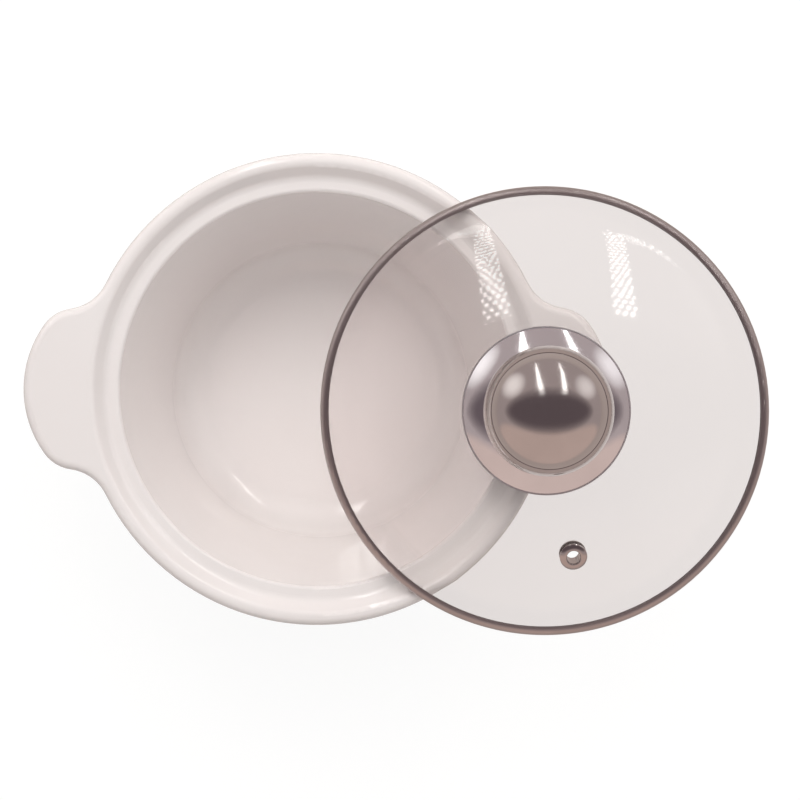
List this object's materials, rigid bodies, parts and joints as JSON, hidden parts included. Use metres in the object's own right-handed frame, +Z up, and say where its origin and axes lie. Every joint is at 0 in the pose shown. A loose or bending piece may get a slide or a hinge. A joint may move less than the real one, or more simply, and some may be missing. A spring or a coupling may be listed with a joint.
{
  "type": "slow cooker crock with lid",
  "caption": "Glazed stoneware slow cooker crock with ear handles and a domed, steel-rimmed glass lid with a ball knob, laid half aside on the rim.",
  "frame": {"origin": "on the crock's axis, at the flat of its base that stands on the table", "axes": "+Z up along the crock's axis; +X through the ear that the lid lies over; +Y towards the top of the picture"},
  "size_m": [0.2995, 0.1937, 0.1653],
  "materials": {
    "glazed_stoneware": "glossy warm white glaze",
    "clear_glass": "clear tempered",
    "polished_steel": "polished",
    "satin_steel": "satin, spun",
    "plain_steel": "plain",
    "silicone": "matt"
  },
  "bodies": {
    "crock": {"crock": "glazed_stoneware"},
    "lid": {"lid_glass": "clear_glass", "lid_rim_band": "polished_steel", "knob_bush": "silicone", "knob_base_plate": "polished_steel", "knob_cup": "polished_steel", "knob_dome": "satin_steel", "knob_insert": "plain_steel", "knob_screw": "plain_steel", "lower_gasket": "silicone", "retaining_washer": "plain_steel", "vent_eyelet": "polished_steel", "vent_washer": "plain_steel"}
  },
  "joints": [
    {"name": "lid_lift", "type": "slide", "parent": "crock", "child": "lid", "axis": [0, 0, 1], "range_m": [0, 0.15]}
  ]
}
